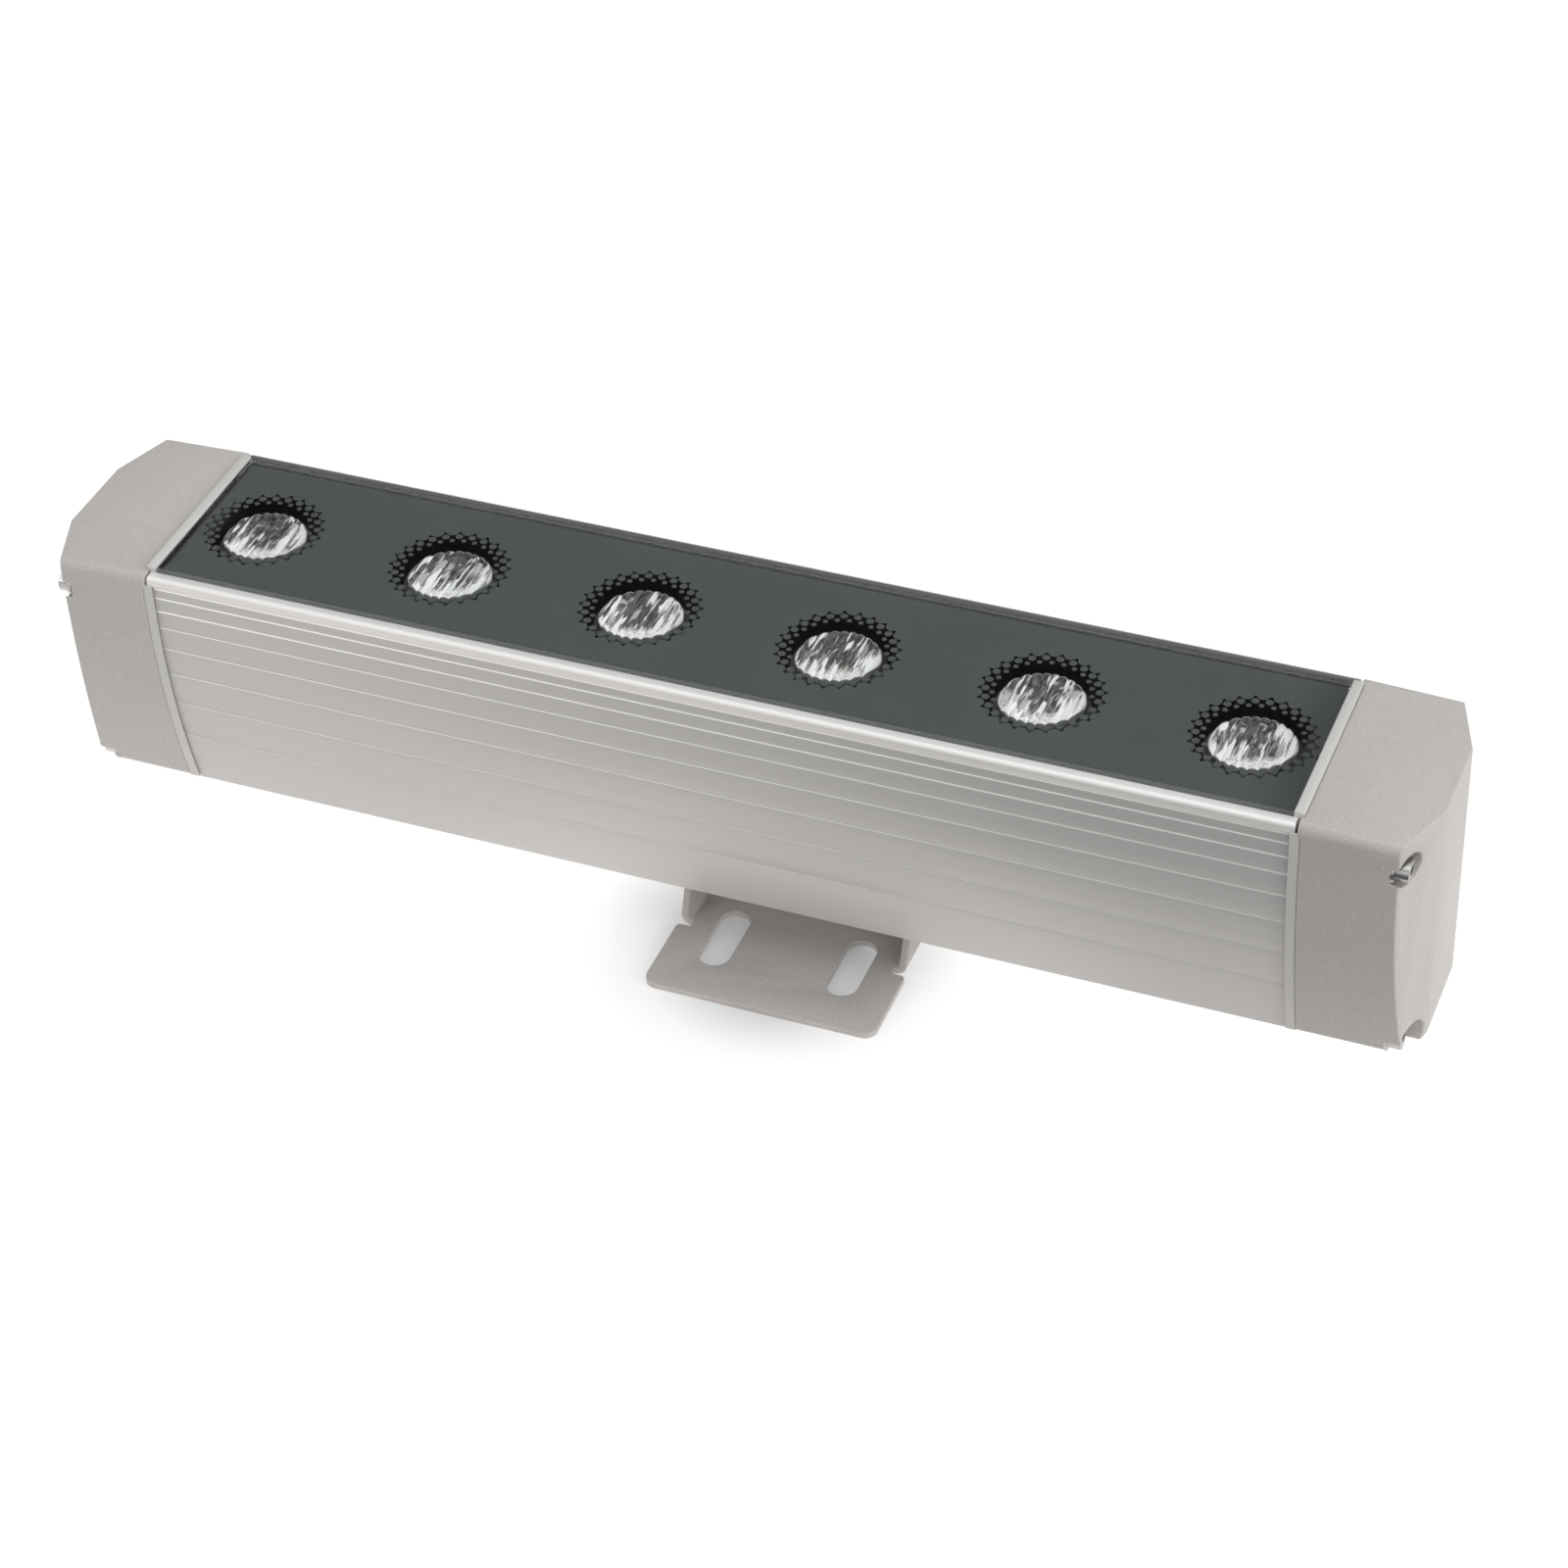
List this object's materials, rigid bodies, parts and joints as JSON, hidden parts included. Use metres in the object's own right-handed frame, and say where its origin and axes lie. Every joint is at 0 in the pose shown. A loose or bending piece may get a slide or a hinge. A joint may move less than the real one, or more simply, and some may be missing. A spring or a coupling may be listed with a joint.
{
  "type": "linear wall floodlight with tilting bracket",
  "caption": "Slim outdoor LED floodlight: fluted lenses behind a printed glass in a curved, grooved aluminium body with angled end caps, on a slotted wall bracket that tilts and slides.",
  "frame": {"origin": "midway between the two slots, on the face of the bracket that lies against the wall", "axes": "+X along the light, away from its cable gland; +Y from the slotted front edge of the bracket towards its ears; +Z from the wall towards the glass"},
  "size_m": [0.3885, 0.0712, 0.0972],
  "materials": {
    "bracket_paint": "grey powder coat on folded steel, low sheen",
    "zinc_steel": "bright zinc-plated or stainless fasteners",
    "galvanised": "dull galvanised sheet",
    "friction_plastic": "plain natural nylon",
    "anodised": "satin clear anodised extrusion with fine lengthwise lines",
    "clear_glass": "clear toughened glass",
    "print_ink": "dark grey ceramic print fired on the back of the glass",
    "black_rubber": "black silicone",
    "grey_rubber": "smooth light grey silicone",
    "cap_paint": "silver-grey fine-textured powder coat on die-cast aluminium",
    "thermal_silicone": "soft grey-blue gap pad",
    "board_white": "white solder mask on an aluminium board",
    "led_package": "white ceramic with a yellow phosphor dome",
    "clear_lens": "clear moulded optic with a fluted top and a frosted rim",
    "black_plastic": "plain black moulding",
    "white_plastic": "plain white moulding",
    "driver_case": "plain pale grey case",
    "brown_wire": "brown insulation",
    "red_wire": "red insulation",
    "green_wire": "green insulation"
  },
  "bodies": {
    "bracket": {"base_bracket": "bracket_paint", "pivot_screws": "zinc_steel", "pivot_washers": "zinc_steel", "friction_discs": "friction_plastic", "pivot_nuts": "zinc_steel"},
    "saddle": {"saddle": "galvanised", "saddle_screws": "zinc_steel", "saddle_washers": "zinc_steel", "channel_nuts": "zinc_steel"},
    "head": {"extrusion": "anodised", "front_glass": "clear_glass", "glass_print": "print_ink", "glass_seal": "black_rubber", "left_end_cap": "cap_paint", "right_end_cap": "cap_paint", "left_end_gasket": "grey_rubber", "right_end_gasket": "grey_rubber", "end_cap_screws": "zinc_steel", "end_cap_washers": "zinc_steel", "thermal_pad": "thermal_silicone", "led_board": "board_white", "board_screws": "zinc_steel", "board_connector": "white_plastic", "led_1": "led_package", "led_2": "led_package", "led_3": "led_package", "led_4": "led_package", "led_5": "led_package", "led_6": "led_package", "lens_holder_1": "black_plastic", "lens_holder_2": "black_plastic", "lens_holder_3": "black_plastic", "lens_holder_4": "black_plastic", "lens_holder_5": "black_plastic", "lens_holder_6": "black_plastic", "lens_1": "clear_lens", "lens_2": "clear_lens", "lens_3": "clear_lens", "lens_4": "clear_lens", "lens_5": "clear_lens", "lens_6": "clear_lens", "light_shield": "black_plastic", "driver_tray": "galvanised", "led_driver": "driver_case", "driver_screws": "zinc_steel", "terminal_block": "white_plastic", "terminal_screws": "zinc_steel", "mains_wires": "brown_wire", "led_wires": "red_wire", "earth_screw": "zinc_steel", "earth_wire": "green_wire", "gland_body": "black_plastic", "gland_seal": "black_rubber", "gland_nut": "black_plastic"}
  },
  "joints": [
    {"name": "tilt", "type": "hinge", "parent": "bracket", "child": "saddle", "pos_m": [0, 0.017, 0.012], "axis": [1, 0, 0], "range_deg": [-45, 45]},
    {"name": "head_slide", "type": "slide", "parent": "saddle", "child": "head", "axis": [1, 0, 0], "range_m": [-0.105, 0.14]}
  ]
}
